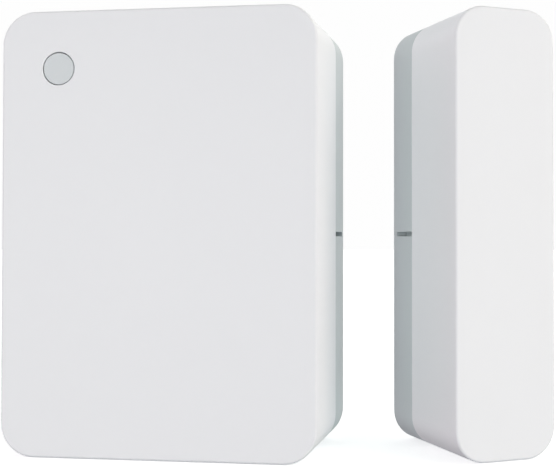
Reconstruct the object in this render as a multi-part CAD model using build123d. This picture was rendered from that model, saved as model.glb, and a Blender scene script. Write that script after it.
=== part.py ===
from build123d import *
import math
import os

# Door contact sensor: a radio unit (sensor) and its magnet unit.
#
# Frame, millimetres: the origin is the centre of the sensor's rear adhesive
# face, on the plane of the door frame it is stuck to.  +X points to the side
# the magnet is on, +Y points into the door frame, +Z is up.  Both units stand
# with their lower ends at the same height.

# ---- driving dimensions ----------------------------------------------------
UNIT_H = 58.0          # height of both units
UNIT_D = 20.0          # depth of both housings, front face to rear face
SENSOR_W = 42.0        # width of the sensor
MAGNET_W = 14.3        # width of the magnet unit
CORNER_R = 4.4         # corner radius of the sensor's front outline
MAGNET_CORNER_R = 4.1  # and of the magnet unit's
SHELL_D = 13.5         # depth of the white front shell, the rest is the cover
WALL = 1.6             # side walls of the front shell
FRONT_T = 1.6          # front wall
FLOOR_T = 1.8          # rear wall of the cover
FRONT_FILLET = 0.35    # soft edge round the front face
REAR_FILLET = 0.45     # soft edge round the rear face
SEAM_FILLET = 0.10     # broken edges where shell and cover meet

TONGUE_T = 1.1         # rim of the cover that plugs into the shell
TONGUE_GAP = 0.12      # gap round that rim
TONGUE_L = 1.6         # how far it plugs in

PAD_T = 1.2            # foam tape
PAD_PROUD = 0.6        # part of the tape that stands out of its recess
SENSOR_PAD = (34.0, 50.0, 3.0)
MAGNET_PAD = (8.6, 50.0, 2.2)
PAD_GAP = 0.2          # recess outline beyond the tape

NOTCH_H = 0.62         # alignment notch: height,
NOTCH_L = 5.0          # length back from the seam,
NOTCH_D = 1.0          # and depth into the side of the sensor
MAGNET_NOTCH_D = 1.4   # and of the magnet unit

# Round button near the upper left corner of the front
BUTTON_X, BUTTON_Z = -13.25, 21.45
BUTTON_R = 2.07
BUTTON_HOLE_R = 2.17
BUTTON_RECESS = 0.06   # its face lies this far behind the front face
BUTTON_TRAVEL = 0.3

# Circuit board, parallel to the front
BOARD_W, BOARD_H, BOARD_R, BOARD_T = 36.0, 52.0, 2.6, 1.0
BOARD_BACK = -9.0      # y of its rear side
SCREWS = [(14.0, 20.6), (-14.6, -22.6), (14.6, -22.6)]

# Coin cell, 24.5 x 5.0
CELL_R, CELL_T = 12.25, 5.0
CELL_X, CELL_Z = 0.0, -8.0
CELL_BACK = -3.0       # y of the positive face

# The magnet unit's place at rest: the middle of its front face, and its turn
# about +Z.  The leaf hinge below closes it flush beside the sensor.
MAGNET_FRONT_X = 44.31
MAGNET_FRONT_BEHIND = 6.39   # behind the sensor's front face
MAGNET_TURN = 30.0
CLOSED_GAP = 5.0             # between the two units when the door is shut

YB = -PAD_PROUD              # rear face of the housings
YF = YB - UNIT_D             # front face
YS = YF + SHELL_D            # seam
BOARD_FRONT = BOARD_BACK - BOARD_T

os.makedirs("parts", exist_ok=True)


# ---- helpers -----------------------------------------------------------------
def slab(w, h, r, y0, y1, x=0.0, z=0.0):
    """Rounded rectangle, w along X and h along Z, from y0 back to y1."""
    pl = Plane(origin=(x, y1, z), x_dir=(1, 0, 0), z_dir=(0, -1, 0))
    return extrude(pl * RectangleRounded(w, h, r), amount=y1 - y0)


def rod(r, y0, y1, x=0.0, z=0.0):
    """Round bar along Y from y0 back to y1."""
    pl = Plane(origin=(x, y1, z), x_dir=(1, 0, 0), z_dir=(0, -1, 0))
    return extrude(pl * Circle(r), amount=y1 - y0)


def block(x0, x1, y0, y1, z0, z1):
    return Pos((x0 + x1) / 2, (y0 + y1) / 2, (z0 + z1) / 2) * Box(
        x1 - x0, y1 - y0, z1 - z0
    )


def edges_at(solid, y):
    return solid.edges().filter_by_position(Axis.Y, y - 1e-3, y + 1e-3)


def one(shape):
    """The single solid of a shape."""
    s = shape.solids()
    assert len(s) == 1, f"expected one solid, got {len(s)}"
    return s[0]


def save(name, shape):
    shape.label = name
    export_step(shape, f"parts/{name}.step")


# ---- housings ------------------------------------------------------------------
def front_shell(w, r=CORNER_R):
    """White shell: closed front, open rear, without its inner features."""
    body = slab(w, UNIT_H, r, YF, YS)
    body = fillet(edges_at(body, YF), FRONT_FILLET)
    body = fillet(edges_at(body, YS), SEAM_FILLET)
    hollow = slab(w - 2 * WALL, UNIT_H - 2 * WALL, r - WALL, YF + FRONT_T, YS + 1)
    body = body - hollow
    # soft inner corner between the front wall and the sides
    body = fillet(edges_at(body, YF + FRONT_T), 0.5)
    return body


def rear_cover(w, pad, notch_side, r=CORNER_R, notch_d=NOTCH_D):
    """Grey tray with a rim that plugs into the shell, a recess for the tape
    and the alignment notch in one side."""
    body = slab(w, UNIT_H, r, YS, YB)
    body = fillet(edges_at(body, YB), REAR_FILLET)
    body = fillet(edges_at(body, YS), SEAM_FILLET)
    inset = WALL + TONGUE_GAP
    rim = slab(w - 2 * inset, UNIT_H - 2 * inset, r - inset, YS - TONGUE_L, YS + 0.5)
    rim = chamfer(edges_at(rim, YS - TONGUE_L), 0.25)
    body = body + rim
    deep = inset + TONGUE_T
    body = body - slab(
        w - 2 * deep, UNIT_H - 2 * deep, r - deep, YS - TONGUE_L - 1, YB - FLOOR_T
    )
    pw, ph, pr = pad
    body = body - slab(
        pw + 2 * PAD_GAP, ph + 2 * PAD_GAP, pr + PAD_GAP, YB - (PAD_T - PAD_PROUD), YB + 1
    )
    x_out = notch_side * w / 2
    x0, x1 = sorted((x_out - notch_side * notch_d, x_out + notch_side * 1.0))
    body = body - block(x0, x1, YS - 0.05, YS + NOTCH_L, -NOTCH_H / 2, NOTCH_H / 2)
    return body


# ---- sensor: front shell ----------------------------------------------------------
shell = front_shell(SENSOR_W)
inner_y = YF + FRONT_T

# sleeve that guides the button's flange
shell = shell + (
    rod(4.05, inner_y - 0.2, -16.0, BUTTON_X, BUTTON_Z)
    - rod(3.25, inner_y, -15.0, BUTTON_X, BUTTON_Z)
)
# screw bosses, with a pair of ribs that tie each to the nearest corner walls
for sx, sz in SCREWS:
    shell = shell + rod(2.3, inner_y - 0.2, BOARD_FRONT, sx, sz)
    side = 1 if sx > 0 else -1
    up = 1 if sz > 0 else -1
    x_wall = side * (SENSOR_W / 2 - WALL + 0.2)
    z_wall = up * (UNIT_H / 2 - WALL + 0.2)
    xa, xb = sorted((sx + side * 1.6, x_wall))
    shell = shell + block(xa, xb, inner_y - 0.2, BOARD_FRONT - 0.6, sz - 0.5, sz + 0.5)
    za, zb = sorted((sz + up * 1.6, z_wall))
    shell = shell + block(sx - 0.5, sx + 0.5, inner_y - 0.2, BOARD_FRONT - 0.6, za, zb)
# ribs on the side walls that the board rests on
for side in (-1, 1):
    for rz in (-6.0, 8.0):
        xa, xb = sorted((side * (BOARD_W / 2 - 0.8), side * (SENSOR_W / 2 - WALL + 0.2)))
        shell = shell + block(xa, xb, inner_y - 0.2, BOARD_FRONT, rz - 0.6, rz + 0.6)
# openings
shell = shell - rod(BUTTON_HOLE_R, YF - 1, inner_y + 0.1, BUTTON_X, BUTTON_Z)
for sx, sz in SCREWS:
    shell = shell - rod(0.78, BOARD_FRONT - 6.6, BOARD_FRONT + 1, sx, sz)
hole_edge = [
    e
    for e in edges_at(shell, YF)
    if (e.bounding_box().center() - Vector(BUTTON_X, YF, BUTTON_Z)).length < 0.1
]
shell = fillet(hole_edge, 0.08)
save("sensor_front_shell", one(shell))

# ---- sensor: rear cover --------------------------------------------------------------
cover = rear_cover(SENSOR_W, SENSOR_PAD, +1)
floor_y = YB - FLOOR_T
# ring and spokes that stop the cell from working loose
ring = rod(8.6, -2.9, floor_y + 0.2, CELL_X, CELL_Z) - rod(7.6, -3.5, floor_y + 0.5, CELL_X, CELL_Z)
cover = cover + ring
for ang in range(0, 360, 60):
    spoke = (
        Pos(CELL_X, 0, CELL_Z)
        * Rot(0, ang, 0)
        * Pos(10.6, 0, 0)
        * Pos(0, (-2.9 + floor_y + 0.2) / 2, 0)
        * Box(4.4, floor_y + 0.2 + 2.9, 0.9)
    )
    cover = cover + spoke
# stiffening rib across the upper half
cover = cover + block(-17.0, 17.0, -3.4, floor_y + 0.2, 12.0, 13.0)
cover = cover + block(-0.5, 0.5, -3.4, floor_y + 0.2, 12.6, 25.4)
# snap ribs on the rim, within its running gap
for side in (-1, 1):
    for rz in (-14.0, 14.0):
        x_rim = side * (SENSOR_W / 2 - WALL - TONGUE_GAP)
        xa, xb = sorted((x_rim - side * 0.2, x_rim + side * 0.07))
        cover = cover + block(xa, xb, YS - 1.2, YS - 0.8, rz - 2.5, rz + 2.5)
    z_rim = side * (UNIT_H / 2 - WALL - TONGUE_GAP)
    za, zb = sorted((z_rim - side * 0.2, z_rim + side * 0.07))
    cover = cover + block(-2.5, 2.5, YS - 1.2, YS - 0.8, za, zb)
save("sensor_rear_cover", one(cover))

pad = slab(*SENSOR_PAD, -PAD_T, 0.0)
save("sensor_adhesive_pad", one(pad))

# ---- button -----------------------------------------------------------------------------
button_face = YF + BUTTON_RECESS
cap = rod(BUTTON_R, button_face, inner_y + 0.05, BUTTON_X, BUTTON_Z)
cap = fillet(edges_at(cap, button_face), 0.10)
cap = cap + rod(2.95, inner_y + 0.05, inner_y + 0.75, BUTTON_X, BUTTON_Z)
SWITCH_TOP = BOARD_FRONT - 3.0      # front of the tact switch's moulded body
PLUNGER_END = SWITCH_TOP - 1.4
cap = cap + (
    rod(1.5, inner_y + 0.75, PLUNGER_END, BUTTON_X, BUTTON_Z)
    - block(BUTTON_X + 0.45, BUTTON_X + 2, inner_y + 0.75, PLUNGER_END + 1, BUTTON_Z + 0.45, BUTTON_Z + 2)
    - block(BUTTON_X - 2, BUTTON_X - 0.45, inner_y + 0.75, PLUNGER_END + 1, BUTTON_Z + 0.45, BUTTON_Z + 2)
    - block(BUTTON_X + 0.45, BUTTON_X + 2, inner_y + 0.75, PLUNGER_END + 1, BUTTON_Z - 2, BUTTON_Z - 0.45)
    - block(BUTTON_X - 2, BUTTON_X - 0.45, inner_y + 0.75, PLUNGER_END + 1, BUTTON_Z - 2, BUTTON_Z - 0.45)
)
save("button_cap", one(cap))

# ---- tact switch --------------------------------------------------------------------------
sw = block(BUTTON_X - 2.25, BUTTON_X + 2.25, SWITCH_TOP, BOARD_FRONT, BUTTON_Z - 2.25, BUTTON_Z + 2.25)
sw = fillet(sw.edges().filter_by(Axis.Y), 0.35)
sw = sw - rod(1.15, SWITCH_TOP - 1, SWITCH_TOP + 1.1, BUTTON_X, BUTTON_Z)
save("tact_switch_body", one(sw))

lid = block(BUTTON_X - 2.25, BUTTON_X + 2.25, SWITCH_TOP - 0.2, SWITCH_TOP, BUTTON_Z - 2.25, BUTTON_Z + 2.25)
lid = fillet(lid.edges().filter_by(Axis.Y), 0.35)
for sx in (-1, 1):
    xa, xb = sorted((BUTTON_X + sx * 2.25, BUTTON_X + sx * 2.45))
    lid = lid + block(xa, xb, SWITCH_TOP - 0.2, BOARD_FRONT, BUTTON_Z - 0.9, BUTTON_Z + 0.9)
    xa, xb = sorted((BUTTON_X + sx * 2.0, BUTTON_X + sx * 2.45))
    lid = lid + block(xa, xb, SWITCH_TOP - 0.2, SWITCH_TOP, BUTTON_Z - 0.9, BUTTON_Z + 0.9)
lid = lid - rod(1.3, SWITCH_TOP - 1, SWITCH_TOP + 0.5, BUTTON_X, BUTTON_Z)
save("tact_switch_cover", one(lid))

plunger = rod(1.0, PLUNGER_END, SWITCH_TOP + 0.6, BUTTON_X, BUTTON_Z)
plunger = fillet(edges_at(plunger, PLUNGER_END), 0.15)
save("tact_switch_plunger", one(plunger))

# ---- status light, under the button's flange ------------------------------------------------
led = block(BUTTON_X + 2.7, BUTTON_X + 4.3, BOARD_FRONT - 0.35, BOARD_FRONT, BUTTON_Z - 0.4, BUTTON_Z + 0.4)
led = led + (
    block(BUTTON_X + 2.95, BUTTON_X + 4.05, BOARD_FRONT - 0.75, BOARD_FRONT - 0.35, BUTTON_Z - 0.4, BUTTON_Z + 0.4)
)
save("status_led", one(led))

# ---- circuit board --------------------------------------------------------------------------
board = slab(BOARD_W, BOARD_H, BOARD_R, BOARD_FRONT, BOARD_BACK)
for sx, sz in SCREWS:
    board = board - rod(1.05, BOARD_FRONT - 1, BOARD_BACK + 1, sx, sz)
# locating cut-outs in the long edges
for side in (-1, 1):
    xa, xb = sorted((side * (BOARD_W / 2 - 1.0), side * (BOARD_W / 2 + 1.0)))
    board = board - block(xa, xb, BOARD_FRONT - 1, BOARD_BACK + 1, 16.0, 18.4)
# plated holes for the reed switch's leads and the battery contacts
REED_X = 16.5
for rz in (-11.0, 11.0):
    board = board - rod(0.4, BOARD_FRONT - 1, BOARD_BACK + 1, REED_X, rz)
save("circuit_board", one(board))

# ---- board screws: pan head, cross recess, self-tapping ---------------------------------------
screws = []
for sx, sz in SCREWS:
    head = rod(1.9, BOARD_BACK, BOARD_BACK + 1.25, sx, sz)
    head = fillet(edges_at(head, BOARD_BACK + 1.25), 0.6)
    shank = rod(0.76, BOARD_BACK - 6.8, BOARD_BACK, sx, sz)
    shank = chamfer(edges_at(shank, BOARD_BACK - 6.8), 0.4)
    s = head + shank
    s = s - block(sx - 1.0, sx + 1.0, BOARD_BACK + 0.55, BOARD_BACK + 2, sz - 0.19, sz + 0.19)
    s = s - block(sx - 0.19, sx + 0.19, BOARD_BACK + 0.55, BOARD_BACK + 2, sz - 1.0, sz + 1.0)
    screws.append(one(s))
save("board_screws", Compound(children=screws))

# ---- battery holder and contacts -----------------------------------------------------------------
HOLD_R_IN, HOLD_R_OUT = CELL_R + 0.15, CELL_R + 1.45
HOLD_FLOOR = BOARD_BACK + 0.7
holder = rod(HOLD_R_OUT, BOARD_BACK, CELL_BACK - 0.6, CELL_X, CELL_Z)
holder = fillet(edges_at(holder, CELL_BACK - 0.6), 0.3)
holder = holder - rod(HOLD_R_IN, HOLD_FLOOR, CELL_BACK + 1, CELL_X, CELL_Z)
# window in the floor for the negative contact, finger gap below, gap for the
# positive contact above
holder = holder - block(-8.4, 8.4, BOARD_BACK - 1, HOLD_FLOOR + 0.1, CELL_Z - 2.2, CELL_Z + 2.2)
holder = holder - block(-4.6, 4.6, HOLD_FLOOR + 1.2, 0, CELL_Z - HOLD_R_OUT - 1, CELL_Z - 8)
holder = holder - block(-3.6, 3.6, BOARD_BACK - 1, 0, CELL_Z + 11.6, CELL_Z + HOLD_R_OUT + 1)
save("battery_holder", one(holder))

CELL_FRONT = CELL_BACK - CELL_T
neg = block(-8.0, 8.0, BOARD_BACK, BOARD_BACK + 0.25, CELL_Z - 1.8, CELL_Z + 1.8)
for sx in (-1, 1):
    arm = block(*sorted((sx * 1.2, sx * 7.6)), BOARD_BACK + 0.25, CELL_FRONT - 0.04, CELL_Z - 0.7, CELL_Z + 0.7)
    arm = arm - block(*sorted((sx * 1.9, sx * 8.0)), BOARD_BACK + 0.25, CELL_FRONT - 0.24, CELL_Z - 1, CELL_Z + 1)
    neg = neg + arm
save("battery_negative_contact", one(neg))

pz = CELL_Z + CELL_R + 0.08
pos = block(-3.0, 3.0, BOARD_BACK, CELL_BACK - 1.0, pz, pz + 0.25)
pos = pos + block(-3.0, 3.0, BOARD_BACK, BOARD_BACK + 0.25, pz, pz + 2.6)
pos = fillet(
    [e for e in pos.edges().filter_by(Axis.X) if abs(e.center().Z - (pz + 0.25)) < 0.01 and abs(e.center().Y - (BOARD_BACK + 0.25)) < 0.01],
    0.25,
)
save("battery_positive_contact", one(pos))

cell = rod(CELL_R, CELL_FRONT + 0.45, CELL_BACK, CELL_X, CELL_Z)
cell = fillet(edges_at(cell, CELL_BACK), 0.45)
cell = fillet(edges_at(cell, CELL_FRONT + 0.45), 0.35)
cell_cap = rod(10.7, CELL_FRONT, CELL_FRONT + 0.5, CELL_X, CELL_Z)
cell_cap = fillet(edges_at(cell_cap, CELL_FRONT), 0.2)
cell = cell + cell_cap
# polarity cross stamped in the positive face
cell = cell - block(CELL_X - 2.2, CELL_X + 2.2, CELL_BACK - 0.08, CELL_BACK + 1, CELL_Z + 6.2 - 0.3, CELL_Z + 6.2 + 0.3)
cell = cell - block(CELL_X - 0.3, CELL_X + 0.3, CELL_BACK - 0.08, CELL_BACK + 1, CELL_Z + 6.2 - 2.2, CELL_Z + 6.2 + 2.2)
save("coin_cell", one(cell))

# ---- reed switch, upright beside the alignment notch ------------------------------------------------
REED_Y = BOARD_BACK + 1.35
GLASS_R, GLASS_L = 1.1, 14.0
tube = Pos(REED_X, REED_Y, 0) * Cylinder(GLASS_R, GLASS_L)
tube = fillet(tube.edges().filter_by(GeomType.CIRCLE), 0.7)
tube = tube - Pos(REED_X, REED_Y, 0) * Cylinder(0.78, GLASS_L - 3.0)
tube = tube - Pos(REED_X, REED_Y, 0) * Cylinder(0.30, GLASS_L + 2)
save("reed_switch_glass", one(tube))

blades = []
for up in (-1, 1):
    # wire out of the tube's end, turned down to the board
    route = FilletPolyline(
        (REED_X, REED_Y, up * (GLASS_L / 2 - 2.2)),
        (REED_X, REED_Y, up * 11.0),
        (REED_X, BOARD_FRONT - 0.3, up * 11.0),
        radius=0.7,
    )
    wire = sweep(Plane(origin=route @ 0, z_dir=route % 0) * Circle(0.25), path=route)
    # flattened blade in the tube; the two overlap in the middle with a gap
    xo = up * 0.17
    za, zb = sorted((up * -0.6, up * (GLASS_L / 2 - 2.0)))
    blade = block(REED_X + xo - 0.1, REED_X + xo + 0.1, REED_Y - 0.45, REED_Y + 0.45, za, zb)
    blades.append(one(wire + blade))
save("reed_switch_blades", Compound(children=blades))

# ---- chips on the rear of the board -------------------------------------------------------------------
CHIP = (-2.0, 15.0)
chip = block(CHIP[0] - 3.5, CHIP[0] + 3.5, BOARD_BACK, BOARD_BACK + 0.9, CHIP[1] - 3.5, CHIP[1] + 3.5)
chip = chamfer(edges_at(chip, BOARD_BACK + 0.9), 0.08)
chip = chip - rod(0.35, BOARD_BACK + 0.82, BOARD_BACK + 2, CHIP[0] + 2.6, CHIP[1] + 2.6)
save("radio_chip", one(chip))

xtal = block(4.4, 7.6, BOARD_BACK, BOARD_BACK + 0.75, 13.4, 15.9)
xtal = fillet(xtal.edges().filter_by(Axis.Y), 0.3)
xtal = chamfer(edges_at(xtal, BOARD_BACK + 0.75), 0.12)
save("crystal", one(xtal))

ant = block(-3.5, 3.5, BOARD_BACK, BOARD_BACK + 1.2, 22.6, 24.6)
ant = chamfer(edges_at(ant, BOARD_BACK + 1.2), 0.1)
save("chip_antenna", one(ant))

small = []


def chip_part(x, z, lx, lz, t):
    b = block(x - lx / 2, x + lx / 2, BOARD_BACK, BOARD_BACK + t, z - lz / 2, z + lz / 2)
    small.append(one(fillet(edges_at(b, BOARD_BACK + t), 0.06)))


for x, z in ((-7.6, 17.4), (-7.6, 15.8), (-7.6, 14.2), (-7.6, 12.6), (4.0, 18.6), (5.8, 18.6), (7.6, 18.6), (1.2, 20.6), (-1.0, 20.6)):
    chip_part(x, z, 1.0, 0.5, 0.5)
for x, z in ((9.8, 13.6), (9.8, 15.6), (-4.6, 9.6), (-2.2, 9.6), (0.2, 9.6)):
    chip_part(x, z, 0.8, 1.6, 0.8)
chip_part(-12.2, 10.6, 3.5, 2.8, 1.9)      # reservoir capacitor
chip_part(-13.4, 15.4, 2.9, 1.3, 1.0)      # protection diode
save("passive_components", Compound(children=small))

# ---- magnet unit, built in the sensor's frame and then put in place -------------------------------------
placed = (
    Pos(MAGNET_FRONT_X, YF + MAGNET_FRONT_BEHIND, 0) * Rot(0, 0, MAGNET_TURN) * Pos(0, -YF, 0)
)

MAG = (5.0, 5.0, 30.0)          # bar magnet, X Y Z
MAG_X = -1.2                    # nearer the side that faces the sensor
MAG_Y0, MAG_Y1 = -13.4, -8.4
FOAM_T = 1.0

mshell = front_shell(MAGNET_W, MAGNET_CORNER_R)
# two rails the foam and magnet lie against, and a stop at each end
for sx in (-1, 1):
    xc = MAG_X + sx * 1.7
    mshell = mshell + block(xc - 0.4, xc + 0.4, inner_y - 0.2, MAG_Y0 - FOAM_T, -14.0, 14.0)
for up in (-1, 1):
    za, zb = sorted((up * (MAG[2] / 2 + 0.15), up * (MAG[2] / 2 + 1.25)))
    mshell = mshell + block(
        -MAGNET_W / 2 + WALL - 0.2, MAGNET_W / 2 - WALL + 0.2, inner_y - 0.2, MAG_Y1 - 0.6, za, zb
    )
# side stop between the magnet and the far wall
for rz in (-9.0, 9.0):
    mshell = mshell + block(
        MAG_X + MAG[0] / 2 + 0.15, MAGNET_W / 2 - WALL + 0.2, inner_y - 0.2, MAG_Y1 - 0.6, rz - 0.5, rz + 0.5
    )
save("magnet_front_shell", one(placed * one(mshell)))

mcover = rear_cover(MAGNET_W, MAGNET_PAD, -1, MAGNET_CORNER_R, MAGNET_NOTCH_D)
# two posts that hold the magnet forward
for rz in (-10.0, 0.0, 10.0):
    mcover = mcover + block(MAG_X - 1.8, MAG_X + 1.8, MAG_Y1, floor_y + 0.2, rz - 0.6, rz + 0.6)
save("magnet_rear_cover", one(placed * one(mcover)))

bar = block(MAG_X - MAG[0] / 2, MAG_X + MAG[0] / 2, MAG_Y0, MAG_Y1, -MAG[2] / 2, MAG[2] / 2)
bar = chamfer(bar.edges(), 0.3)
save("bar_magnet", one(placed * one(bar)))

foam = block(MAG_X - 2.3, MAG_X + 2.3, MAG_Y0 - FOAM_T, MAG_Y0, -13.0, 13.0)
save("magnet_foam_strip", one(placed * one(foam)))

mpad = slab(*MAGNET_PAD, -PAD_T, 0.0)
save("magnet_adhesive_pad", one(placed * one(mpad)))

# ---- leaf hinge: the one vertical axis that carries the magnet unit from its
# place at rest to flush beside the sensor, CLOSED_GAP away -----------------------------------------------
t = math.radians(-MAGNET_TURN)
rx, ry = MAGNET_FRONT_X, MAGNET_FRONT_BEHIND
cx, cy = SENSOR_W / 2 + CLOSED_GAP + MAGNET_W / 2, 0.0
qx = cx - (math.cos(t) * rx - math.sin(t) * ry)
qy = cy - (math.sin(t) * rx + math.cos(t) * ry)
a, b = 1 - math.cos(t), math.sin(t)
det = a * a + b * b
HINGE_X = (a * qx - b * qy) / det
HINGE_Y = (b * qx + a * qy) / det + YF
print(f"leaf hinge axis at x {HINGE_X:.3f}, y {HINGE_Y:.3f}")
pad_middle = placed.position
print(f"magnet tape centre at x {pad_middle.X:.3f}, y {pad_middle.Y:.3f}")
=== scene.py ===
import math

import bmesh
import bpy
from mathutils import Matrix, Vector, noise


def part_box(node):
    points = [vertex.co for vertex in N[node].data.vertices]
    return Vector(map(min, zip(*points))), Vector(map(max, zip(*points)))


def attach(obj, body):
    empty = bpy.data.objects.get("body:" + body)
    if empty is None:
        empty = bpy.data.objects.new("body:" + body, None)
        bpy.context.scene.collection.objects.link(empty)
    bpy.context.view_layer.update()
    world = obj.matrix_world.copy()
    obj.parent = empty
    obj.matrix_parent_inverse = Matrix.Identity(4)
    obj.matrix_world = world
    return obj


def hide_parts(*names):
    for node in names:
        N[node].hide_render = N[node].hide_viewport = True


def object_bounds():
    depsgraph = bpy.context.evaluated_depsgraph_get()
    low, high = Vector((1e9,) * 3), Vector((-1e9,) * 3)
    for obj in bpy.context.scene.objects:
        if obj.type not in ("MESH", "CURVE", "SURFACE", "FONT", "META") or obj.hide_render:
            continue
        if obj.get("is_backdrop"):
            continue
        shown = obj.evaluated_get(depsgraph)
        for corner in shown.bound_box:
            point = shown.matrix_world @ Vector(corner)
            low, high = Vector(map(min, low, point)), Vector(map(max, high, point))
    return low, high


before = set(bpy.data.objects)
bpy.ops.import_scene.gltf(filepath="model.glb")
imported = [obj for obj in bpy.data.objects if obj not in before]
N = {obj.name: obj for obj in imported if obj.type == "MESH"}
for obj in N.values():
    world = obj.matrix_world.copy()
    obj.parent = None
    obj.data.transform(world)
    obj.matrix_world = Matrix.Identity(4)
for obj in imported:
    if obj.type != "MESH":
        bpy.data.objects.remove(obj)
CAD_LO, CAD_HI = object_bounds()
MM = 0.001

scene = bpy.context.scene
scene.view_settings.view_transform = "Standard"
scene.view_settings.look = "None"
scene.view_settings.exposure = 0.0
scene.view_settings.gamma = 1.0

# ---- camera ------------------------------------------------------------------
cam_data = bpy.data.cameras.new("camera")
cam = bpy.data.objects.new("camera", cam_data)
scene.collection.objects.link(cam)
scene.camera = cam
cam_data.sensor_width = 36.0
cam_data.lens = 69.070
cam_data.shift_x = -0.1565
cam_data.shift_y = -0.0307
cam_data.clip_start = 0.01
cam_data.clip_end = 20.0
yaw, pitch = math.radians(8.325), math.radians(1.1569)
look = Vector((-math.sin(yaw) * math.cos(pitch), math.cos(yaw) * math.cos(pitch), math.sin(pitch)))
cam.location = Vector((46.20, -20.6 - 131.02, -0.89)) * MM
cam.rotation_mode = "QUATERNION"
cam.rotation_quaternion = look.to_track_quat("-Z", "Y")


# ---- material helpers ------------------------------------------------------------
class Shader:
    """A Principled material and short names for the nodes that feed it. Lengths are millimetres."""

    def __init__(self, name):
        self.mat = bpy.data.materials.new(name)
        self.mat.use_nodes = True
        self.nt = self.mat.node_tree
        self.b = self.nt.nodes["Principled BSDF"]
        self.co = self.nt.nodes.new("ShaderNodeTexCoord").outputs["Object"]

    def link(self, a, socket):
        self.nt.links.new(a, socket)

    def set(self, **k):
        for n, v in k.items():
            s = self.b.inputs[n.replace("_", " ")]
            s.default_value = (*v, 1) if isinstance(v, tuple) and len(v) == 3 and s.type == "RGBA" else v
        return self

    def shifted(self, offset=(0, 0, 0), scale=(1, 1, 1), co=None):
        m = self.nt.nodes.new("ShaderNodeMapping")
        m.inputs["Location"].default_value = [v * MM for v in offset]
        m.inputs["Scale"].default_value = scale
        self.link(co or self.co, m.inputs["Vector"])
        return m.outputs["Vector"]

    def noise(self, size, detail=2.0, rough=0.5, distortion=0.0, co=None):
        n = self.nt.nodes.new("ShaderNodeTexNoise")
        n.inputs["Scale"].default_value = 1.0 / (size * MM)
        n.inputs["Detail"].default_value = detail
        n.inputs["Roughness"].default_value = rough
        n.inputs["Distortion"].default_value = distortion
        self.link(co or self.co, n.inputs["Vector"])
        return n.outputs["Fac"]

    def cells(self, size, feature="F1", randomness=1.0, co=None, output="Distance"):
        n = self.nt.nodes.new("ShaderNodeTexVoronoi")
        n.feature = feature
        n.inputs["Scale"].default_value = 1.0 / (size * MM)
        n.inputs["Randomness"].default_value = randomness
        self.link(co or self.co, n.inputs["Vector"])
        return n.outputs[output]

    def ramp(self, fac, stops):
        r = self.nt.nodes.new("ShaderNodeValToRGB")
        e = r.color_ramp.elements
        while len(e) < len(stops):
            e.new(0.5)
        for el, (p, c) in zip(e, stops):
            el.position = p
            el.color = (*c, 1)
        self.link(fac, r.inputs["Fac"])
        return r.outputs["Color"]

    def span(self, v, a, b, lo=0.3, hi=0.7):
        m = self.nt.nodes.new("ShaderNodeMapRange")
        m.inputs["From Min"].default_value = lo
        m.inputs["From Max"].default_value = hi
        m.inputs["To Min"].default_value = a
        m.inputs["To Max"].default_value = b
        self.link(v, m.inputs["Value"])
        return m.outputs["Result"]

    def math(self, op, a, b=None):
        m = self.nt.nodes.new("ShaderNodeMath")
        m.operation = op
        for i, v in enumerate((a, b)):
            if v is None:
                continue
            if isinstance(v, (int, float)):
                m.inputs[i].default_value = v
            else:
                self.link(v, m.inputs[i])
        return m.outputs[0]

    def mix(self, fac, a, b, blend="MIX"):
        m = self.nt.nodes.new("ShaderNodeMix")
        m.data_type = "RGBA"
        m.blend_type = blend
        ins = {"Factor": m.inputs[0], "A": m.inputs[6], "B": m.inputs[7]}
        for k, v in (("Factor", fac), ("A", a), ("B", b)):
            if isinstance(v, tuple):
                ins[k].default_value = (*v, 1)
            elif isinstance(v, (int, float)):
                ins[k].default_value = v
            else:
                self.link(v, ins[k])
        return m.outputs[2]

    def bump(self, height, depth, strength=1.0):
        """depth is the height in millimetres that a change of 1 in the pattern stands for"""
        n = self.nt.nodes.new("ShaderNodeBump")
        n.inputs["Strength"].default_value = strength
        n.inputs["Distance"].default_value = depth * MM
        self.link(height, n.inputs["Height"])
        prev = self.b.inputs["Normal"]
        if prev.is_linked:
            self.link(prev.links[0].from_socket, n.inputs["Normal"])
        self.link(n.outputs["Normal"], prev)
        return self

    def color(self, c):
        self.link(c, self.b.inputs["Base Color"])
        return self

    def rough(self, r):
        self.link(r, self.b.inputs["Roughness"])
        return self

    def axis(self, which, co=None):
        s = self.nt.nodes.new("ShaderNodeSeparateXYZ")
        self.link(co or self.co, s.inputs[0])
        return s.outputs[which]

    def radius(self, cx, cz):
        """distance from the line along Y through (cx, cz)"""
        v = self.shifted((-cx, 0, -cz))
        x, z = self.axis(0, v), self.axis(2, v)
        return self.math("SQRT", self.math("ADD", self.math("MULTIPLY", x, x), self.math("MULTIPLY", z, z)))


def tone(c, k):
    return tuple(min(1.0, v * k) for v in c)


def moulded(name, col, rough, grain=0.16, depth=0.0022, spread=0.010, **k):
    """Injection-moulded plastic: spark-eroded tool texture, faint flow mottling, tiny specks."""
    s = Shader(name)
    flow = s.noise(9.0, 3.0, 0.55, 0.4)
    fine = s.noise(0.9, 2.0)
    body = s.ramp(flow, [(0.30, tone(col, 1 - spread)), (0.52, col), (0.72, tone(col, 1 + spread))])
    speck = s.ramp(s.cells(0.55), [(0.0, tone(col, 1 - 3.0 * spread)), (0.10, tone(col, 1.0)), (1.0, tone(col, 1.0))])
    s.color(s.mix(0.35, body, speck))
    s.rough(s.math("ADD", s.span(flow, rough - 0.03, rough + 0.03), s.span(fine, -0.02, 0.02)))
    s.bump(s.noise(grain, 2.0, 0.6), depth)
    s.bump(s.noise(grain * 12, 1.0), depth * 1.6)
    return s.set(**k)


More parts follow.
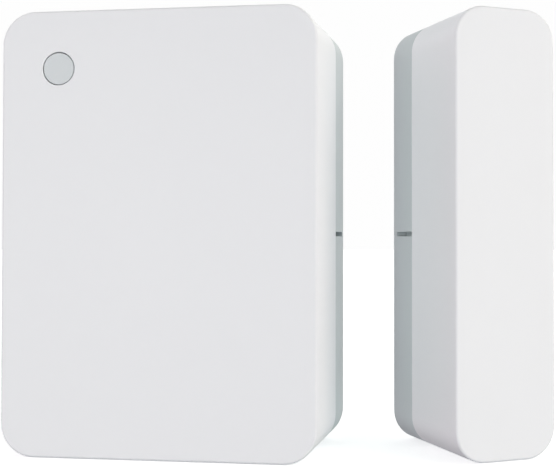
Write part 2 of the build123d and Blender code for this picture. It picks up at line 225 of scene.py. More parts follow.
def metal(name, col, rough, stretch=(1, 1, 1), grain=0.05, depth=0.0008, **k):
    """Plated or rolled metal: fine directional lines, cloudy tarnish, small pits."""
    s = Shader(name)
    lines = s.noise(grain, 3.0, 0.6, co=s.shifted(scale=stretch))
    cloud = s.noise(3.0, 3.0, 0.6, 0.5)
    s.color(s.ramp(cloud, [(0.28, tone(col, 0.90)), (0.55, col), (0.78, tone(col, 1.05))]))
    s.rough(s.math("ADD", s.span(cloud, rough - 0.05, rough + 0.06), s.span(lines, -0.05, 0.05)))
    s.bump(lines, depth)
    return s.set(Metallic=1.0, **k).mat


# ---- materials ------------------------------------------------------------------
WHITE = (0.800, 0.810, 0.830)
GREY = (0.550, 0.600, 0.610)
M = {}
s = moulded("shell_white", WHITE, 0.42, Specular_IOR_Level=0.42)
s.set(Subsurface_Weight=0.04, Subsurface_Radius=(0.0008, 0.0008, 0.0008), Subsurface_Scale=0.5)
M["shell_white"] = s.mat
M["cover_grey"] = moulded("cover_grey", GREY, 0.46, grain=0.20, depth=0.0026, spread=0.014, Specular_IOR_Level=0.42).mat
s = moulded("button_plastic", (0.615, 0.650, 0.668), 0.38, grain=0.12, depth=0.0016, spread=0.012)
s.set(Subsurface_Weight=0.25, Subsurface_Radius=(0.0010, 0.0011, 0.0011), Subsurface_Scale=0.6)
M["button_plastic"] = s.mat
M["switch_white"] = moulded("switch_white", (0.72, 0.70, 0.64), 0.5, grain=0.10, depth=0.002).mat
M["black_plastic"] = moulded("black_plastic", (0.022, 0.022, 0.024), 0.42, grain=0.24, depth=0.006, spread=0.18).mat

# solder mask over glass cloth: the weave shows faintly, copper under it is a tone lighter
def laminate(name, col, depth):
    s = Shader(name)
    weave_a = s.nt.nodes.new("ShaderNodeTexWave")
    weave_a.bands_direction = "X"
    weave_b = s.nt.nodes.new("ShaderNodeTexWave")
    weave_b.bands_direction = "Z"
    for w in (weave_a, weave_b):
        w.inputs["Scale"].default_value = 1.0 / (2.6 * MM)
        w.inputs["Distortion"].default_value = 0.6
        w.inputs["Detail"].default_value = 1.0
        s.link(s.co, w.inputs["Vector"])
    weave = s.math("MULTIPLY", weave_a.outputs["Fac"], weave_b.outputs["Fac"])
    cloud = s.noise(7.0, 3.0)
    s.color(s.mix(s.math("MULTIPLY", weave, 0.22), s.ramp(cloud, [(0.3, tone(col, 0.90)), (0.7, tone(col, 1.10))]), tone(col, 1.5)))
    s.rough(s.span(s.noise(1.2), 0.22, 0.34))
    s.bump(weave, depth)
    s.bump(s.noise(0.5, 2.0), depth * 0.5)
    return s.set(Coat_Weight=0.35, Coat_Roughness=0.12).mat


M["board_laminate"] = laminate("board_laminate", (0.018, 0.125, 0.055), 0.0012)
M["masked_copper"] = laminate("masked_copper", (0.040, 0.230, 0.090), 0.0008)
M["screw_steel"] = metal("screw_steel", (0.62, 0.63, 0.65), 0.28, (1, 0.15, 1), 0.10, 0.002)
M["contact_nickel"] = metal("contact_nickel", (0.72, 0.69, 0.62), 0.26, (0.08, 1, 1), 0.05, 0.0012)
M["solder_tin"] = metal("solder_tin", (0.70, 0.71, 0.72), 0.33, (1, 1, 1), 0.14, 0.004)
M["plated_gold"] = metal("plated_gold", (0.90, 0.68, 0.32), 0.27, (1, 1, 1), 0.12, 0.0015)
M["magnet_nickel"] = metal("magnet_nickel", (0.66, 0.65, 0.62), 0.16, (1, 1, 0.2), 0.30, 0.001)

# coin cell: turned steel, so the lines run in circles about its axis
s = Shader("cell_steel")
r = s.radius(0.0, -8.0)
rings = s.noise(0.055, 2.0, 0.6, co=r)
cloud = s.noise(4.0, 3.0, 0.6, 0.6)
s.color(s.ramp(cloud, [(0.28, (0.60, 0.60, 0.59)), (0.55, (0.68, 0.68, 0.67)), (0.8, (0.73, 0.72, 0.70))]))
s.rough(s.math("ADD", s.span(cloud, 0.20, 0.30), s.span(rings, -0.05, 0.06)))
s.bump(rings, 0.0010)
s.bump(s.noise(1.4, 1.0), 0.0015)
M["cell_steel"] = s.set(Metallic=1.0).mat

# flashed resin over a phosphor well
s = Shader("led_resin")
r = s.radius(-9.75, 21.45)
s.color(s.mix(s.span(r, 1.0, 0.0, 0.00030, 0.00045), (0.80, 0.80, 0.76), (0.83, 0.66, 0.12)))
s.rough(s.span(s.noise(0.3), 0.20, 0.34))
s.bump(s.noise(0.25), 0.003)
M["led_resin"] = s.set(Subsurface_Weight=0.2, Subsurface_Radius=(0.0004, 0.0004, 0.0002)).mat

# soft glass with a green tint and streaks along the tube
s = Shader("tube_glass")
streak = s.noise(0.35, 2.0, co=s.shifted(scale=(1, 1, 0.06)))
s.color(s.ramp(streak, [(0.3, (0.80, 0.93, 0.84)), (0.7, (0.90, 0.98, 0.92))]))
s.rough(s.span(streak, 0.02, 0.07))
s.bump(streak, 0.004)
M["tube_glass"] = s.set(Transmission_Weight=1.0, IOR=1.51).mat

# epoxy with silica filler, matt from the mould
s = Shader("chip_epoxy")
fill = s.noise(0.06, 3.0, 0.7)
s.color(s.ramp(fill, [(0.35, (0.016, 0.016, 0.018)), (0.62, (0.028, 0.028, 0.030)), (0.80, (0.060, 0.060, 0.062))]))
s.rough(s.span(s.noise(1.5), 0.48, 0.60))
s.bump(fill, 0.004)
M["chip_epoxy"] = s.mat


def ceramic(name, col, spread, rough):
    s = Shader(name)
    s.color(s.ramp(s.noise(0.16, 3.0, 0.65), [(0.30, tone(col, 1 - spread)), (0.70, tone(col, 1 + spread))]))
    s.rough(s.span(s.noise(0.5), rough - 0.07, rough + 0.07))
    s.bump(s.noise(0.09, 2.0), 0.003)
    return s.mat


M["antenna_ceramic"] = ceramic("antenna_ceramic", (0.62, 0.68, 0.70), 0.08, 0.46)
M["capacitor_ceramic"] = ceramic("capacitor_ceramic", (0.42, 0.27, 0.15), 0.16, 0.38)

# closed-cell foam: pores of several sizes; the colour is darkened in the pore hollows as painted shade and lightened on
# the rims between them as painted highlight
def foam(name, col, pore=0.22, depth=0.030):
    s = Shader(name)
    big, tiny = s.cells(pore), s.cells(pore * 0.45)
    pores = s.math("MINIMUM", big, s.math("ADD", tiny, 0.12))
    # painted shade: darker colour at the pore centres; painted highlight: lighter colour on the rims
    s.color(s.ramp(pores, [(0.05, tone(col, 0.62)), (0.28, tone(col, 0.93)), (0.60, tone(col, 1.06))]))
    s.rough(s.span(s.noise(0.8), 0.70, 0.90))
    s.bump(pores, depth)
    return s.set(Sheen_Weight=0.06, Sheen_Roughness=0.5).mat


M["foam_tape"] = foam("foam_tape", (0.60, 0.61, 0.61))
M["foam_grey"] = foam("foam_grey", (0.11, 0.11, 0.12), 0.35, 0.05)

# adhesive film: cloudy, slightly wet, with the crossed marks that its liner leaves
s = Shader("tape_film")
cloud = s.noise(2.5, 4.0, 0.6, 0.8)
s.color(s.ramp(cloud, [(0.3, (0.57, 0.58, 0.58)), (0.7, (0.66, 0.67, 0.665))]))
s.rough(s.span(cloud, 0.24, 0.42))
dimple = s.cells(0.9, randomness=0.15)
s.bump(dimple, 0.006)
s.bump(s.noise(0.25, 2.0), 0.003)
M["tape_film"] = s.mat

# release liner: glassine paper, fibres and a faint cross-hatch emboss
s = Shader("release_liner")
fibre = s.noise(0.5, 4.0, 0.7, 1.5, co=s.shifted(scale=(1, 1, 0.25)))
hatch = s.nt.nodes.new("ShaderNodeTexWave")
hatch.bands_direction = "DIAGONAL"
hatch.inputs["Scale"].default_value = 1.0 / (5.0 * MM)
s.link(s.co, hatch.inputs["Vector"])
hatch2 = s.nt.nodes.new("ShaderNodeTexWave")
hatch2.bands_direction = "DIAGONAL"
hatch2.inputs["Scale"].default_value = 1.0 / (5.0 * MM)
s.link(s.shifted(scale=(-1, 1, 1)), hatch2.inputs["Vector"])
grid = s.math("MULTIPLY", hatch.outputs["Fac"], hatch2.outputs["Fac"])
s.color(s.mix(s.math("MULTIPLY", grid, 0.35), s.ramp(fibre, [(0.3, (0.70, 0.69, 0.62)), (0.7, (0.78, 0.77, 0.70))]), (0.66, 0.65, 0.58)))
s.rough(s.span(fibre, 0.34, 0.48))
s.bump(grid, 0.008)
s.bump(fibre, 0.004)
M["release_liner"] = s.set(Coat_Weight=0.3, Coat_Roughness=0.25).mat

# printed legend ink
s = Shader("legend_ink")
s.color(s.ramp(s.noise(0.12, 2.0), [(0.3, (0.74, 0.75, 0.74)), (0.7, (0.84, 0.85, 0.84))]))
s.rough(s.span(s.noise(0.3), 0.5, 0.7))
s.bump(s.noise(0.1), 0.003)
M["legend_ink"] = s.mat

s = moulded("gasket_blue", (0.10, 0.16, 0.24), 0.45, grain=0.1)
M["gasket_blue"] = s.mat

FINISH = {
    "sensor_front_shell": "shell_white", "magnet_front_shell": "shell_white",
    "sensor_rear_cover": "cover_grey", "magnet_rear_cover": "cover_grey",
    "button_cap": "button_plastic",
    "tact_switch_body": "black_plastic", "tact_switch_plunger": "switch_white", "tact_switch_cover": "contact_nickel",
    "status_led": "led_resin", "circuit_board": "board_laminate", "board_screws": "screw_steel",
    "battery_holder": "black_plastic", "battery_negative_contact": "contact_nickel",
    "battery_positive_contact": "contact_nickel", "coin_cell": "cell_steel",
    "reed_switch_glass": "tube_glass", "reed_switch_blades": "contact_nickel",
    "radio_chip": "chip_epoxy", "crystal": "screw_steel", "chip_antenna": "antenna_ceramic",
    "passive_components": "capacitor_ceramic", "bar_magnet": "magnet_nickel",
    "sensor_adhesive_pad": "foam_tape", "magnet_adhesive_pad": "foam_tape", "magnet_foam_strip": "foam_grey",
}
for name, ob in N.items():
    ob.data.materials.clear()
    ob.data.materials.append(M[FINISH[name]])


# ---- mesh helpers (millimetres in, metres out) -----------------------------------------
def finish_piece(name, bm, mat, body, sharp=35.0, turn=None):
    bmesh.ops.recalc_face_normals(bm, faces=bm.faces)
    if turn is not None:
        bmesh.ops.transform(bm, matrix=turn, verts=bm.verts)
    bmesh.ops.scale(bm, vec=(MM, MM, MM), verts=bm.verts)
    me = bpy.data.meshes.new(name)
    bm.to_mesh(me)
    bm.free()
    me.materials.append(M[mat])
    for p in me.polygons:
        p.use_smooth = True
    me.set_sharp_from_angle(angle=math.radians(sharp))
    ob = bpy.data.objects.new(name, me)
    scene.collection.objects.link(ob)
    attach(ob, body)
    return ob


def loops(bm, rings, closed=False):
    """skin a list of equal rings of points; the first and last are capped unless the skin closes on itself"""
    vs = [[bm.verts.new(p) for p in ring] for ring in rings]
    n = len(vs[0])
    pairs = list(zip(vs, vs[1:])) + ([(vs[-1], vs[0])] if closed else [])
    for a, b in pairs:
        for i in range(n):
            j = (i + 1) % n
            bm.faces.new((a[i], a[j], b[j], b[i]))
    if not closed:
        bm.faces.new(vs[0])
        bm.faces.new(vs[-1])


def prism(bm, pts, y0, y1, chamfer=0.0):
    """a closed slab on an outline of (x, z), from y0 to its outer face y1"""
    cx = sum(p[0] for p in pts) / len(pts)
    cz = sum(p[1] for p in pts) / len(pts)
    c = math.copysign(chamfer, y1 - y0)

    def ring(inset, y):
        out = []
        for x, z in pts:
            d = math.hypot(x - cx, z - cz)
            k = 1 - inset / d if d else 1
            out.append((cx + (x - cx) * k, y, cz + (z - cz) * k))
        return out

    rings = [ring(0, y0), ring(0, y1 - c), ring(chamfer, y1)] if chamfer else [ring(0, y0), ring(0, y1)]
    loops(bm, rings)


def rect(x0, x1, z0, z1):
    return [(x0, z0), (x1, z0), (x1, z1), (x0, z1)]


def disc(cx, cz, r, n=28):
    return [(cx + r * math.cos(2 * math.pi * i / n), cz + r * math.sin(2 * math.pi * i / n)) for i in range(n)]


def lathe(bm, profile, cx, cz, n=40):
    """a closed profile of (radius, y) turned about the line along Y through (cx, cz)"""
    rings = []
    for i in range(n):
        a = 2 * math.pi * i / n
        rings.append([(cx + r * math.cos(a), y, cz + r * math.sin(a)) for r, y in profile])
    loops(bm, rings, closed=True)


def track(bm, route, width, y0, y1):
    """a copper track along a route of (x, z), with mitred bends and sloping edges"""
    pts = [Vector((x, 0, z)) for x, z in route]
    up = math.copysign(1, y1 - y0)
    rings = []
    for i, p in enumerate(pts):
        ta = (p - pts[i - 1]).normalized() if i else None
        tb = (pts[i + 1] - p).normalized() if i + 1 < len(pts) else None
        t = ((ta or tb) + (tb or ta)).normalized()
        side = Vector((t.z, 0, -t.x))
        k = 1.0
        if ta is not None and tb is not None:
            k = 1.0 / max(0.5, t.dot(ta))
        w, wt = width / 2 * k, (width / 2 - 0.03) * k
        rings.append([
            (p.x - side.x * w, y0, p.z - side.z * w), (p.x + side.x * w, y0, p.z + side.z * w),
            (p.x + side.x * wt, y1, p.z + side.z * wt), (p.x - side.x * wt, y1, p.z - side.z * wt),
        ])
    loops(bm, rings)


# ---- circuit board: copper, pads, legend, solder ------------------------------------------
lo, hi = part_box("circuit_board")
FRONT_Y, BACK_Y = lo.y / MM, hi.y / MM
REED_X, HOLES = 16.5, (-11.0, 11.0)
SCREWS = ((14.0, 20.6), (-14.6, -22.6), (14.6, -22.6))

bm = bmesh.new()
tracks_back = [
    [(1.5, 14.9), (3.4, 14.9), (4.3, 14.9)], [(1.5, 15.4), (2.6, 15.4), (3.6, 16.4), (8.2, 16.4), (9.8, 16.4)],
    [(1.5, 13.9), (2.9, 13.9), (3.6, 13.2), (4.3, 13.2)], [(1.5, 16.4), (2.4, 16.4), (3.0, 17.0), (3.0, 18.2), (3.5, 18.6)],
    [(1.5, 16.9), (2.0, 17.4), (2.0, 19.4), (1.7, 20.2)], [(-0.5, 18.5), (-0.5, 19.6), (-0.9, 20.2)],
    [(-0.5, 20.6), (0.7, 20.6)], [(-1.5, 20.6), (-2.6, 21.7), (-3.2, 22.6)], [(1.7, 20.6), (2.7, 21.6), (3.1, 22.6)],
    [(-5.5, 17.4), (-7.1, 17.4)], [(-5.5, 15.9), (-7.1, 15.9)], [(-5.5, 14.4), (-7.1, 14.3)], [(-5.5, 12.9), (-7.1, 12.7)],
    [(-8.1, 17.4), (-9.6, 17.4), (-11.0, 16.0), (-12.0, 15.4)], [(-8.1, 15.8), (-9.2, 15.8), (-10.2, 14.8), (-10.2, 12.0), (-10.4, 11.6)],
    [(-8.1, 14.2), (-9.0, 13.3), (-9.0, 8.2), (-10.4, 6.8), (-15.6, 6.8)], [(-8.1, 12.6), (-8.4, 12.3), (-8.4, 7.6), (-9.2, 6.8)],
    [(-4.6, 11.5), (-4.6, 10.4)], [(-2.2, 11.5), (-2.2, 10.4)], [(0.2, 11.5), (0.2, 10.4)],
    [(-4.6, 8.8), (-4.6, 7.6), (-2.2, 7.6), (-2.2, 8.8)], [(0.2, 8.8), (0.2, 7.4), (-1.0, 6.4)],
    [(0.7, 11.5), (1.6, 10.6), (6.0, 10.6), (7.2, 11.0), (15.6, 11.0)], [(-0.3, 11.5), (1.2, 9.9), (12.6, 9.9), (13.6, 8.9), (13.6, -9.6), (15.0, -11.0), (15.7, -11.0)],
    [(9.8, 12.8), (9.8, 11.9), (10.7, 11.0)], [(4.5, 18.6), (5.3, 18.6)], [(6.3, 18.6), (7.1, 18.6)], [(8.1, 18.6), (9.4, 18.6), (11.0, 17.0), (14.6, 17.0), (16.6, 15.0), (16.6, 13.0)],
    [(-13.9, 10.6), (-15.2, 10.6), (-16.4, 9.4), (-16.4, -18.0), (-14.6, -19.8), (-9.0, -23.6), (-6.4, -23.6)],
    [(15.0, -12.6), (15.0, -16.4), (10.6, -20.8), (8.4, -23.0), (6.4, -23.6)], [(-13.4, 16.2), (-13.4, 19.6), (-12.2, 20.8), (-9.0, 20.8)],
    [(-15.3, 8.8), (-15.3, -14.6), (-12.8, -17.1)],
]
for t in tracks_back:
    track(bm, t, 0.28, BACK_Y - 0.05, BACK_Y + 0.030)
for x0, z0, x1, z1, w in ((-15.6, 12.2, -15.6, 6.0, 0.9), (13.0, -14.8, 16.8, -14.8, 0.8), (-3.6, 25.0, 3.6, 25.0, 0.25)):
    track(bm, [(x0, z0), (x1, z1)], w, BACK_Y - 0.05, BACK_Y + 0.028)
finish_piece("board_tracks_rear", bm, "masked_copper", "sensor", sharp=20)

bm = bmesh.new()
BX, BZ = -13.25, 21.45
for t in (
    [(BX + 2.2, BZ - 1.6), (BX + 4.4, BZ - 1.6), (BX + 6.0, BZ - 3.2), (BX + 6.0, BZ - 8.0), (-3.0, 9.0), (-3.0, -16.0), (-6.0, -19.0), (-12.5, -19.0)],
    [(BX + 4.5, BZ), (BX + 7.4, BZ - 2.9), (BX + 7.4, BZ - 7.0), (0.5, 8.6), (8.0, 8.6), (14.6, 2.0), (14.6, -9.2), (15.7, -10.4)],
    [(BX - 2.4, BZ - 1.6), (BX - 3.4, BZ - 2.6), (BX - 3.4, -16.0), (-14.0, -18.6)],
    [(BX + 2.2, BZ + 1.6), (BX + 5.0, BZ + 1.6), (-4.0, 19.0), (8.0, 19.0), (11.0, 16.0), (15.0, 12.0), (15.8, 11.2)],
    [(-10.0, -5.0), (2.0, -5.0), (6.0, -9.0), (6.0, -20.0), (9.0, -23.0), (12.6, -23.0)],
):
    track(bm, t, 0.30, FRONT_Y + 0.05, FRONT_Y - 0.030)
finish_piece("board_tracks_front", bm, "masked_copper", "sensor", sharp=20)

# bare, gold-plated pads: under the chip's edges, at the antenna, test points
bm = bmesh.new()
CX, CZ = -2.0, 15.0
for i in range(12):
    o = (i - 5.5) * 0.5
    for a, b in (((CX + o - 0.13, CX + o + 0.13), (CZ + 3.2, CZ + 3.85)), ((CX + o - 0.13, CX + o + 0.13), (CZ - 3.85, CZ - 3.2)),
                 ((CX + 3.2, CX + 3.85), (CZ + o - 0.13, CZ + o + 0.13)), ((CX - 3.85, CX - 3.2), (CZ + o - 0.13, CZ + o + 0.13))):
        prism(bm, rect(*a, *b), BACK_Y - 0.05, BACK_Y + 0.045, 0.02)
for x in (-3.75, 3.15):
    prism(bm, rect(x, x + 0.6, 22.4, 24.8), BACK_Y - 0.05, BACK_Y + 0.045, 0.02)
for x0 in (4.1, 6.9):
    for z0 in (13.1, 15.1):
        prism(bm, rect(x0, x0 + 1.0, z0, z0 + 1.0), BACK_Y - 0.05, BACK_Y + 0.04, 0.02)
for i in range(6):
    prism(bm, disc(-6.25 + 2.5 * i, -24.0, 0.62), BACK_Y - 0.05, BACK_Y + 0.04, 0.02)
for x, z in ((-16.0, 3.0), (-16.0, 0.4), (16.2, 4.0), (-11.6, -24.2)):
    prism(bm, disc(x, z, 0.45), BACK_Y - 0.05, BACK_Y + 0.04, 0.02)
for x, z in SCREWS:
    lathe(bm, [(1.10, BACK_Y - 0.05), (2.15, BACK_Y - 0.05), (2.13, BACK_Y + 0.035), (1.12, BACK_Y + 0.035)], x, z, 48)
    lathe(bm, [(1.10, FRONT_Y + 0.05), (1.95, FRONT_Y + 0.05), (1.93, FRONT_Y - 0.035), (1.12, FRONT_Y - 0.035)], x, z, 48)
finish_piece("board_pads", bm, "plated_gold", "sensor", sharp=30)

# vias: small tinned rings with a dimple
bm = bmesh.new()
for x, z in ((2.0, 19.0), (-0.4, 19.3), (9.6, 16.4), (13.6, 6.0), (13.6, -2.0), (-9.0, 9.6), (-10.2, 13.0), (-2.2, 7.6), (11.4, 20.6), (9.6, 22.4), (7.2, 21.6), (7.2, 23.6),
             (4.9, 24.4), (-5.4, 24.4), (-7.4, 23.4), (-7.0, 21.6), (-16.6, 22.4), (-16.6, 12.8), (16.8, 24.0), (11.2, 24.6), (-16.4, -8.0), (-12.0, -21.6), (12.2, -19.2), (-4.0, -22.6), (4.0, -22.6), (6.2, 8.2), (9.4, 8.2)):
    lathe(bm, [(0.0 + 0.07, BACK_Y + 0.005), (0.12, BACK_Y - 0.04), (0.30, BACK_Y - 0.04), (0.29, BACK_Y + 0.035), (0.14, BACK_Y + 0.035)], x, z, 20)
finish_piece("board_vias", bm, "solder_tin", "sensor", sharp=40)

# solder: cones about the reed switch's leads, joints of the contacts
bm = bmesh.new()
for z in HOLES:
    prof = [(0.26, BACK_Y - 0.04), (0.85, BACK_Y - 0.04), (0.84, BACK_Y + 0.02), (0.62, BACK_Y + 0.10), (0.44, BACK_Y + 0.26), (0.33, BACK_Y + 0.52), (0.255, BACK_Y + 0.60)]
    lathe(bm, prof, REED_X, z, 40)
    prof = [(0.02, FRONT_Y + 0.04), (0.85, FRONT_Y + 0.04), (0.83, FRONT_Y - 0.03), (0.62, FRONT_Y - 0.14), (0.42, FRONT_Y - 0.33), (0.22, FRONT_Y - 0.42), (0.02, FRONT_Y - 0.44)]
    lathe(bm, prof, REED_X, z, 40)


def blob(x0, x1, z0, z1, top):
    """a low pillow of solder on a rectangle"""
    rings = []
    n = 9
    cx, cz, hx, hz = (x0 + x1) / 2, (z0 + z1) / 2, (x1 - x0) / 2, (z1 - z0) / 2
    for k in range(n):
        f = k / (n - 1) * 0.94
        sc = math.cos(f * math.pi / 2) ** 0.8
        y = BACK_Y - 0.04 + (top + 0.04) * math.sin(f * math.pi / 2)
        ring = []
        for i in range(32):
            a = 2 * math.pi * i / 32
            ca, sa = math.cos(a), math.sin(a)
            ring.append((cx + hx * sc * math.copysign(abs(ca) ** 0.55, ca), y, cz + hz * sc * math.copysign(abs(sa) ** 0.55, sa)))
        rings.append(ring)
    loops(bm, rings)


for sx in (-1, 1):
    blob(*sorted((sx * 7.55, sx * 8.25)), -9.6, -6.4, 0.34)
blob(-2.9, 2.9, 6.75, 7.35, 0.34)
finish_piece("solder_joints", bm, "solder_tin", "sensor", sharp=60)

# tinned end caps and fillets of the chip parts
SMALL = [(x, z, 1.0, 0.5, 0.5) for x, z in ((-7.6, 17.4), (-7.6, 15.8), (-7.6, 14.2), (-7.6, 12.6), (4.0, 18.6), (5.8, 18.6), (7.6, 18.6), (1.2, 20.6), (-1.0, 20.6))]
SMALL += [(x, z, 0.8, 1.6, 0.8) for x, z in ((9.8, 13.6), (9.8, 15.6), (-4.6, 9.6), (-2.2, 9.6), (0.2, 9.6))]
SMALL += [(-12.2, 10.6, 3.5, 2.8, 1.9), (-13.4, 15.4, 2.9, 1.3, 1.0)]
bm = bmesh.new()
for x, z, lx, lz, t in SMALL:
    along_x = lx >= lz
    L, W = (lx, lz) if along_x else (lz, lx)
    cap, g = 0.22 * L if L < 2 else 0.5, 0.018
    for e in (-1, 1):
        # the section of the cap and its fillet, along the part's length
        sec = [(L / 2 - cap, 0.0), (L / 2 + g + 0.26, 0.0), (L / 2 + g + 0.20, 0.05), (L / 2 + g + 0.07, t * 0.22), (L / 2 + g, t * 0.60), (L / 2 + g, t - 0.03), (L / 2 - 0.03, t + g), (L / 2 - cap, t + g)]
        rings = []
        for w in (-W / 2 - g, -W / 2 - g + 0.03, W / 2 + g - 0.03, W / 2 + g):
            k = 1.0 if abs(w) < W / 2 + g - 0.001 else 0.985
            ring = []
            for u, h in sec:
                px, pz = (e * u, w) if along_x else (w, e * u)
                ring.append((x + px, BACK_Y - 0.01 + h * k, z + pz))
            rings.append(ring)
        loops(bm, rings)
finish_piece("chip_part_terminals", bm, "solder_tin", "sensor", sharp=30)

# legend: outlines, a pin-one dot and a polarity cross, no lettering
bm = bmesh.new()


def outline(x0, x1, z0, z1, gap=0.0, w=0.13):
    y0, y1 = BACK_Y - 0.03, BACK_Y + 0.042
    for p in ([(x0, z0), (x1, z0)], [(x1, z0), (x1, z1)], [(x1, z1), (x0, z1)], [(x0, z1), (x0, z0)]):
        a, b = Vector(p[0]), Vector(p[1])
        d = (b - a).normalized() * gap
        track(bm, [tuple(a + d), tuple(b - d)], w, y0, y1)


outline(-6.3, 2.3, 10.7, 19.3, 1.0)
outline(3.9, 8.1, 12.8, 16.5, 0.3)
outline(-4.3, 4.3, 22.1, 25.2, 0.5)
outline(-14.6, -9.8, 8.8, 12.4, 0.3)
outline(-15.4, -11.4, 14.4, 16.4, 0.3)
outline(15.0, 17.6, -8.0, 8.0, 1.2)
prism(bm, disc(1.9, 19.9, 0.22, 16), BACK_Y - 0.03, BACK_Y + 0.042, 0.02)
for a, b in (((-5.6, 7.4), (-4.4, 7.4)), ((-5.0, 6.8), (-5.0, 8.0))):
    track(bm, [a, b], 0.18, BACK_Y - 0.03, BACK_Y + 0.044)
for i in range(90):
    if i % 10 > 6:
        continue
    a0, a1 = 2 * math.pi * i / 90, 2 * math.pi * (i + 1) / 90
    route = [(14.15 * math.cos(a), -8.0 + 14.15 * math.sin(a)) for a in (a0, a1)]
    if all(abs(x) < 17.2 for x, z in route):
        track(bm, route, 0.13, BACK_Y - 0.03, BACK_Y + 0.042)
finish_piece("board_legend", bm, "legend_ink", "sensor", sharp=20)

# the cell's insulating seal, between its cap and its can
lo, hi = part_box("coin_cell")
bm = bmesh.new()
y = lo.y / MM + 0.45
lathe(bm, [(10.72, y + 0.05), (10.72, y - 0.16), (10.80, y - 0.24), (10.98, y - 0.26), (11.20, y - 0.20), (11.34, y - 0.08), (11.40, y + 0.05)], 0.0, -8.0, 120)
finish_piece("coin_cell_seal", bm, "gasket_blue", "battery", sharp=50)


# ---- foam pieces: tape pads with film and liner, strip under the magnet ------------------------
def frame_of(node, deg):
    """the node's box in a frame turned by deg about Z, in millimetres"""
    r = Matrix.Rotation(-math.radians(deg), 4, "Z")
    vs = [r @ v.co for v in N[node].data.vertices]
    return [(min(v[i] for v in vs) / MM, max(v[i] for v in vs) / MM) for i in range(3)]


def rounded(x0, x1, z0, z1, r, inset, step=0.45):
    """points about a rounded rectangle, evenly spaced, and as many at every inset"""
    wide, tall = x1 - x0, z1 - z0
    x0, x1, z0, z1, r = x0 + inset, x1 - inset, z0 + inset, z1 - inset, max(r - inset, 0.05)
    out = []
    for cx, cz, a0, nx in ((x1 - r, z1 - r, 0.0, 0), (x0 + r, z1 - r, 90.0, 1), (x0 + r, z0 + r, 180.0, 2), (x1 - r, z0 + r, 270.0, 3)):
        k = 14
        for i in range(k + 1):
            a = math.radians(a0 + 90.0 * i / k)
            out.append((cx + r * math.cos(a), cz + r * math.sin(a)))
        nxt = ((x0 + r, z1), (x0, z0 + r), (x1 - r, z0), (x1, z1 - r))[nx]
        p = out[-1]
        d = math.hypot(nxt[0] - p[0], nxt[1] - p[1])
        m = max(1, round((tall if nx in (1, 3) else wide) / step))
        for i in range(1, m):
            out.append((p[0] + (nxt[0] - p[0]) * i / m, p[1] + (nxt[1] - p[1]) * i / m))
    return out


def sheet_layer(name, node, deg, r, ya, yb, edge, mat, body, ragged=0.0, steps=6, crown=0.0, base=0.0):
    """one layer of a pad, from ya to yb behind the pad's own inner face, with rounded or ragged edges"""
    (x0, x1), (y0, y1), (z0, z1) = frame_of(node, deg)
    bm = bmesh.new()
    rings = []
    for k in range(steps + 1):
        f = k / steps
        y = y0 + ya + (yb - ya) * f
        ins = base + edge * (1 - math.sqrt(max(0.0, 1 - (2 * f - 1) ** 2)))
        pts = rounded(x0, x1, z0, z1, r, ins)
        ring = []
        for x, z in pts:
            d = 0.0
            if ragged and 0 < k < steps:
                d = ragged * (0.5 + 0.5 * noise.noise(Vector((x * 2.1, y * 5.0, z * 2.1))))
                d += 0.6 * ragged * max(0.0, noise.noise(Vector((x * 5.3, y * 9.0, z * 5.3))))
            cx, cz = (x0 + x1) / 2, (z0 + z1) / 2
            L = math.hypot(x - cx, z - cz)
            ring.append((x - (x - cx) / L * d, y, z - (z - cz) / L * d))
        rings.append(ring)
    # step the outer face inward so that it shades and crowns softly
    for inset, lift in ((0.5, 0.35), (1.4, 0.7), (3.0, 1.0)):
        top = [(x, y0 + yb + crown * lift, z) for x, z in rounded(x0, x1, z0, z1, r, base + edge + inset)]
        rings.append(top)
    loops(bm, rings)
    return finish_piece(name, bm, mat, body, sharp=60, turn=Matrix.Rotation(math.radians(deg), 4, "Z"))


for unit, body, deg, r in (("sensor", "rear_cover", 0.0, 3.0), ("magnet", "magnet_unit", 30.0, 2.2)):
    node = f"{unit}_adhesive_pad"
    inner = sheet_layer(f"{unit}_tape_inner_film", node, deg, r, 0.0, 0.08, 0.02, "tape_film", body, steps=3, base=0.04)
    core = sheet_layer(f"{unit}_tape_foam", node, deg, r, 0.08, 1.04, 0.05, "foam_tape", body, ragged=0.07, steps=10, base=0.05)
    outer = sheet_layer(f"{unit}_tape_outer_film", node, deg, r, 1.04, 1.12, 0.02, "tape_film", body, steps=3, base=0.04)
    liner = sheet_layer(f"{unit}_tape_liner", node, deg, r, 1.12, 1.195, 0.0, "release_liner", body, steps=3, base=0.0)
    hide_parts(node)
strip = sheet_layer("magnet_foam_block", "magnet_foam_strip", 30.0, 0.4, 0.0, frame_of("magnet_foam_strip", 30.0)[1][1] - frame_of("magnet_foam_strip", 30.0)[1][0], 0.06, "foam_grey", "magnet_unit", ragged=0.06, steps=8, base=0.02)
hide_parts("magnet_foam_strip")

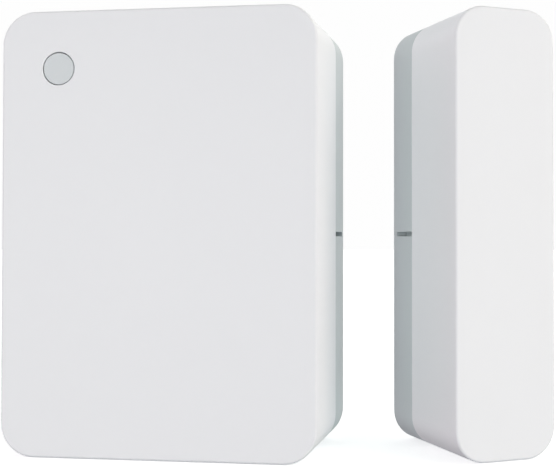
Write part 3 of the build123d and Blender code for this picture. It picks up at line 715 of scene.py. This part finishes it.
# ---- floor ------------------------------------------------------------------------
s = Shader("floor_white")
s.color(s.ramp(s.noise(60.0, 2.0), [(0.3, (0.93, 0.93, 0.93)), (0.7, (0.95, 0.95, 0.95))]))
s.rough(s.span(s.noise(20.0), 0.85, 0.95))
s.set(Specular_IOR_Level=0.0, Emission_Color=(1.0, 1.0, 1.0), Emission_Strength=0.55)
M["floor_white"] = s.mat
bm = bmesh.new()
bmesh.ops.create_grid(bm, x_segments=12, y_segments=12, size=3.0)
me = bpy.data.meshes.new("floor")
bm.to_mesh(me)
bm.free()
me.materials.append(s.mat)
floor = bpy.data.objects.new("floor", me)
floor.location = (0, 0, CAD_LO.z - 0.00005)
scene.collection.objects.link(floor)
floor.visible_diffuse = False
floor.visible_glossy = False
floor.visible_transmission = False
floor.visible_shadow = False
floor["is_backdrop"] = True

# ---- light: soft boxes about the object, as broad lobes of the world ---------------------
# azimuth from +X toward +Y, elevation, tightness, colour
LOBES = [
    (-110, 0, 30, (5.60, 5.52, 5.46)), (-90, 0, 30, (1.90, 2.03, 1.95)), (-45, 10, 30, (0.73, 1.11, 1.19)),
    (-30, 10, 30, (1.14, 1.13, 1.10)), (-30, 0, 8, (0.99, 0.91, 0.76)), (-15, 10, 30, (1.01, 0.57, 0.25)),
    (-15, 40, 30, (4.00, 3.82, 3.88)), (-5, 0, 60, (1.73, 1.23, 1.32)), (-75, -20, 30, (0.26, 0.0, 0.46)),
    (-150, 0, 5, (0.49, 0.59, 0.55)), (180, 0, 5, (0.75, 0.30, 0.46)), (180, -35, 5, (0.0, 0.05, 0.05)),
    (-90, -50, 12, (0.05, 0.05, 0.05)), (-150, 20, 8, (0.29, 0.31, 0.29)), (-50, -10, 30, (0.45, 0.45, 0.45)),
    (0, -35, 5, (0.84, 1.00, 1.03)), (140, 20, 5, (0.85, 1.02, 1.00)), (90, 10, 5, (1.63, 1.62, 1.66)),
    (40, 20, 5, (0.77, 0.82, 0.72)),
]
w = bpy.data.worlds.new("world")
scene.world = w
w.use_nodes = True
nt = w.node_tree
nt.nodes.clear()
tc = nt.nodes.new("ShaderNodeTexCoord")
total = None
for az, el, p, col in LOBES:
    a, e = math.radians(az), math.radians(el)
    dot = nt.nodes.new("ShaderNodeVectorMath")
    dot.operation = "DOT_PRODUCT"
    dot.inputs[1].default_value = (math.cos(e) * math.cos(a), math.cos(e) * math.sin(a), math.sin(e))
    nt.links.new(tc.outputs["Generated"], dot.inputs[0])
    mx = nt.nodes.new("ShaderNodeMath")
    mx.operation = "MAXIMUM"
    mx.inputs[1].default_value = 0.0
    nt.links.new(dot.outputs["Value"], mx.inputs[0])
    pw = nt.nodes.new("ShaderNodeMath")
    pw.operation = "POWER"
    pw.inputs[1].default_value = p
    nt.links.new(mx.outputs[0], pw.inputs[0])
    sc = nt.nodes.new("ShaderNodeVectorMath")
    sc.operation = "SCALE"
    sc.inputs[0].default_value = col
    nt.links.new(pw.outputs[0], sc.inputs["Scale"])
    add = nt.nodes.new("ShaderNodeVectorMath")
    add.operation = "ADD"
    if total is None:
        add.inputs[1].default_value = (0.0, 0.0, 0.0)
    else:
        nt.links.new(total, add.inputs[1])
    nt.links.new(sc.outputs[0], add.inputs[0])
    total = add.outputs[0]
lit = nt.nodes.new("ShaderNodeBackground")
nt.links.new(total, lit.inputs["Color"])
plain = nt.nodes.new("ShaderNodeBackground")
plain.inputs["Color"].default_value = (0.99, 0.99, 0.99, 1)
path = nt.nodes.new("ShaderNodeLightPath")
pick = nt.nodes.new("ShaderNodeMixShader")
nt.links.new(path.outputs["Is Camera Ray"], pick.inputs[0])
nt.links.new(lit.outputs[0], pick.inputs[1])
nt.links.new(plain.outputs[0], pick.inputs[2])
out = nt.nodes.new("ShaderNodeOutputWorld")
nt.links.new(pick.outputs[0], out.inputs["Surface"])

lo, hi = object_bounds()
